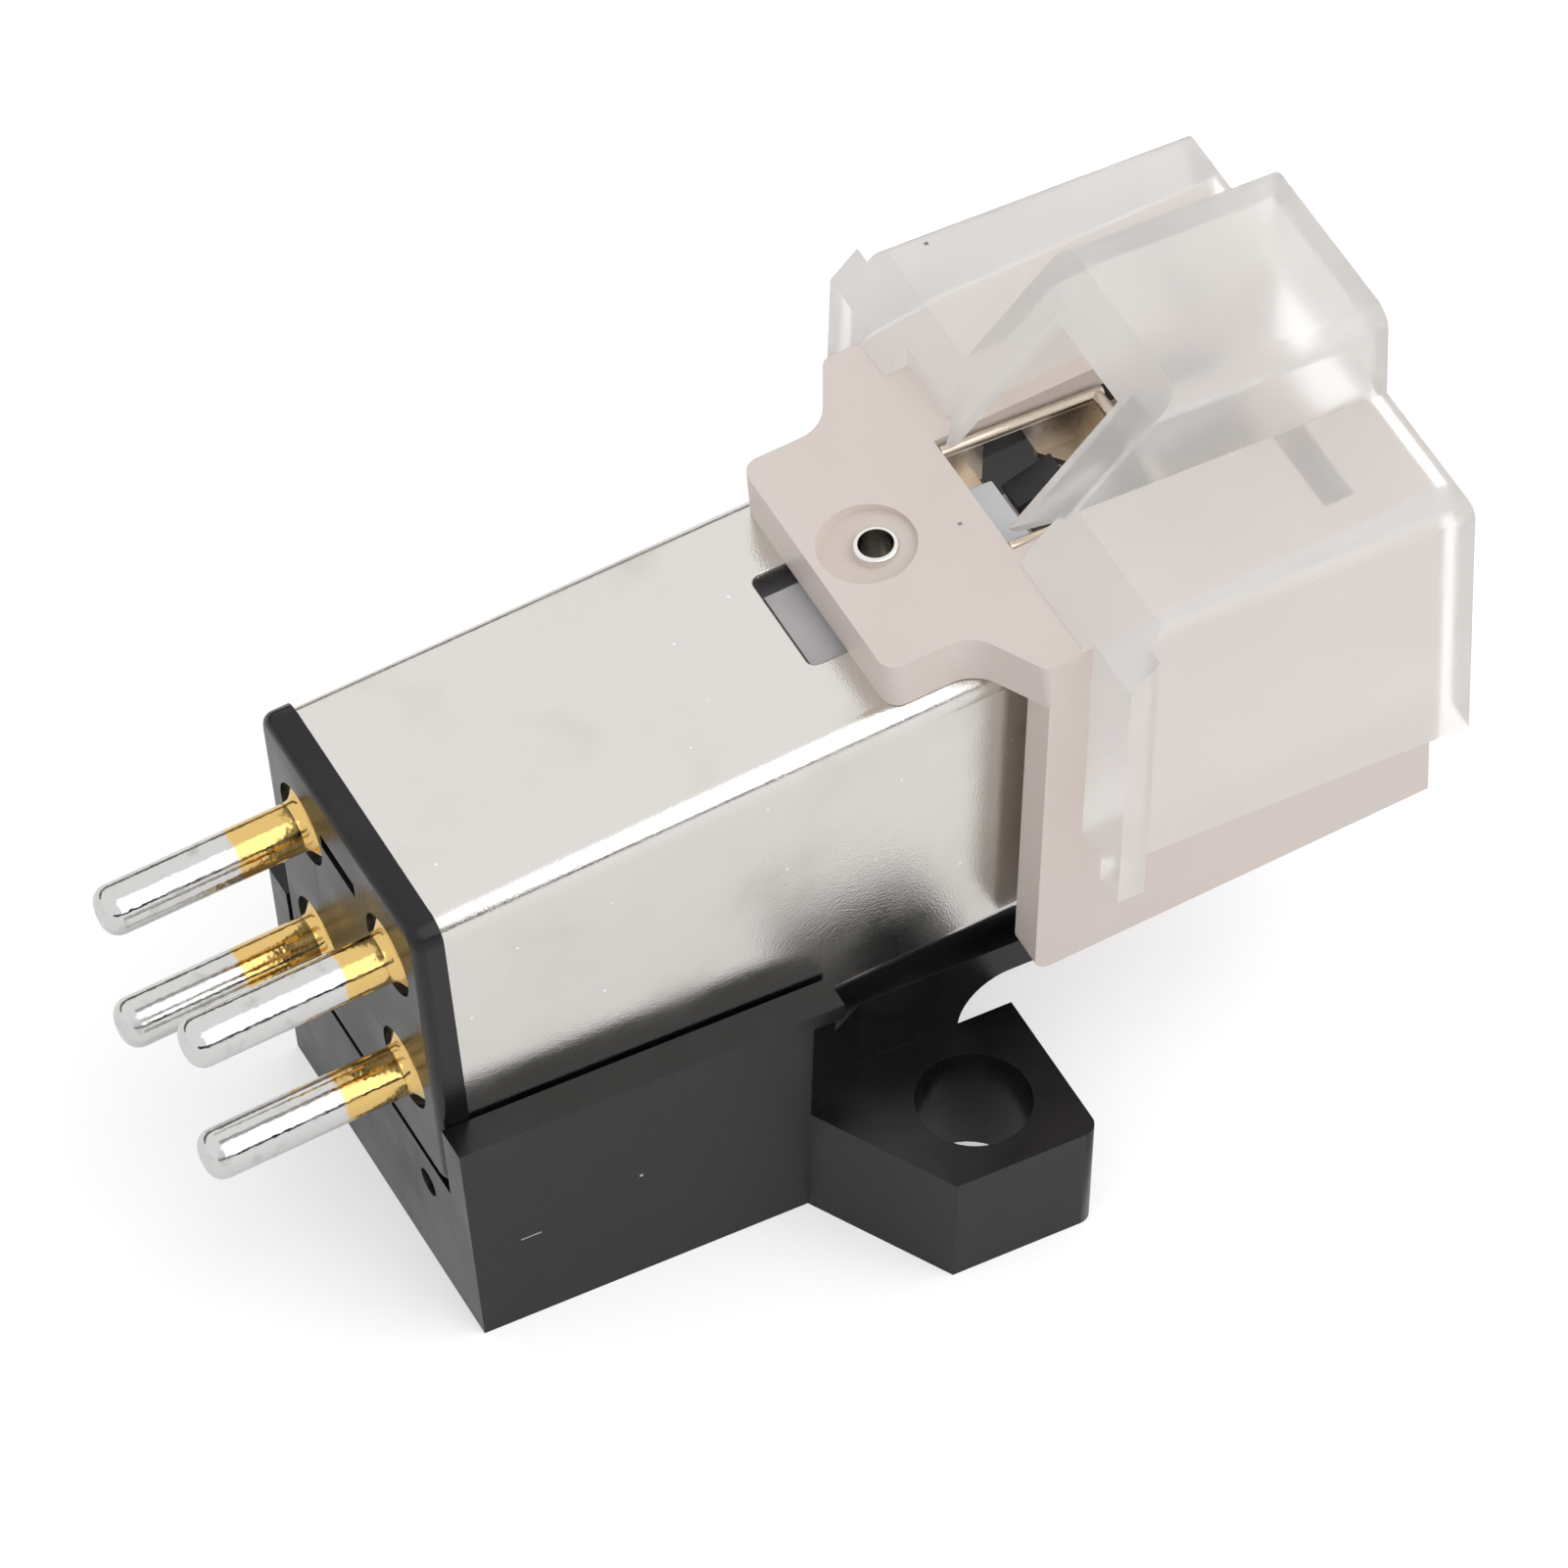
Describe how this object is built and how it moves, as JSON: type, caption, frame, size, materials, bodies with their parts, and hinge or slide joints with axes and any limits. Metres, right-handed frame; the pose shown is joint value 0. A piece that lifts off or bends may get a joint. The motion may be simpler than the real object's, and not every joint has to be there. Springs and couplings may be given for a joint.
{
  "type": "turntable stylus cartridge",
  "caption": "Half-inch phono cartridge with a metal-shielded generator, terminal pins, a moulded base with screw lugs and a push-on stylus under a frosted guard.",
  "frame": {"origin": "midway between the two screw holes, on the mounting face", "axes": "+Z from the mounting face towards the stylus tip, -Y towards the stylus end, +Y towards the terminals"},
  "size_m": [0.017, 0.0318, 0.0214],
  "materials": {
    "black_plastic": "satin moulded",
    "nickel": "satin nickel",
    "pin_plating": "gold plated, tinned tip",
    "white_plastic": "moulded",
    "bobbin_plastic": "moulded",
    "copper_wire": "enamelled wire",
    "iron": "plain",
    "pink_plastic": "satin moulded",
    "bright_steel": "bright",
    "rubber": "matte",
    "aluminium": "plain",
    "diamond": "ground",
    "magnet": "plain",
    "frosted_plastic": "frosted translucent"
  },
  "bodies": {
    "generator": {"mounting_base": "black_plastic", "shield_can": "nickel", "terminal_plate": "black_plastic", "pin_upper_left": "pin_plating", "pin_upper_right": "pin_plating", "pin_lower_left": "pin_plating", "pin_lower_right": "pin_plating", "coil_carrier": "white_plastic", "coil_bobbin_left": "bobbin_plastic", "coil_bobbin_right": "bobbin_plastic", "coil_winding_left": "copper_wire", "coil_winding_right": "copper_wire", "pole_piece_left": "iron", "pole_piece_right": "iron", "rear_yoke": "iron"},
    "stylus_carrier": {"stylus_holder": "pink_plastic", "holder_eyelet": "bright_steel", "suspension_bracket": "bright_steel", "damper_plug": "white_plastic", "rubber_damper": "rubber"},
    "cantilever_set": {"cantilever": "aluminium", "stylus_tip": "diamond", "magnet_left": "magnet", "magnet_right": "magnet"},
    "guard": {"stylus_guard": "frosted_plastic"}
  },
  "joints": [
    {"name": "holder_pull", "type": "slide", "parent": "generator", "child": "stylus_carrier", "axis": [0, -0.9952, 0.0976], "range_m": [0, 0.008]},
    {"name": "guard_pull", "type": "slide", "parent": "stylus_carrier", "child": "guard", "axis": [0, -0.9952, 0.0976], "range_m": [0, 0.014]},
    {"name": "cantilever_pivot", "type": "hinge", "parent": "stylus_carrier", "child": "cantilever_set", "pos_m": [0, -0.00678, 0.01628], "axis": [1, 0, 0], "range_deg": [-2.5, 2.5], "stiffness_Nm_per_rad": 0.0008}
  ]
}
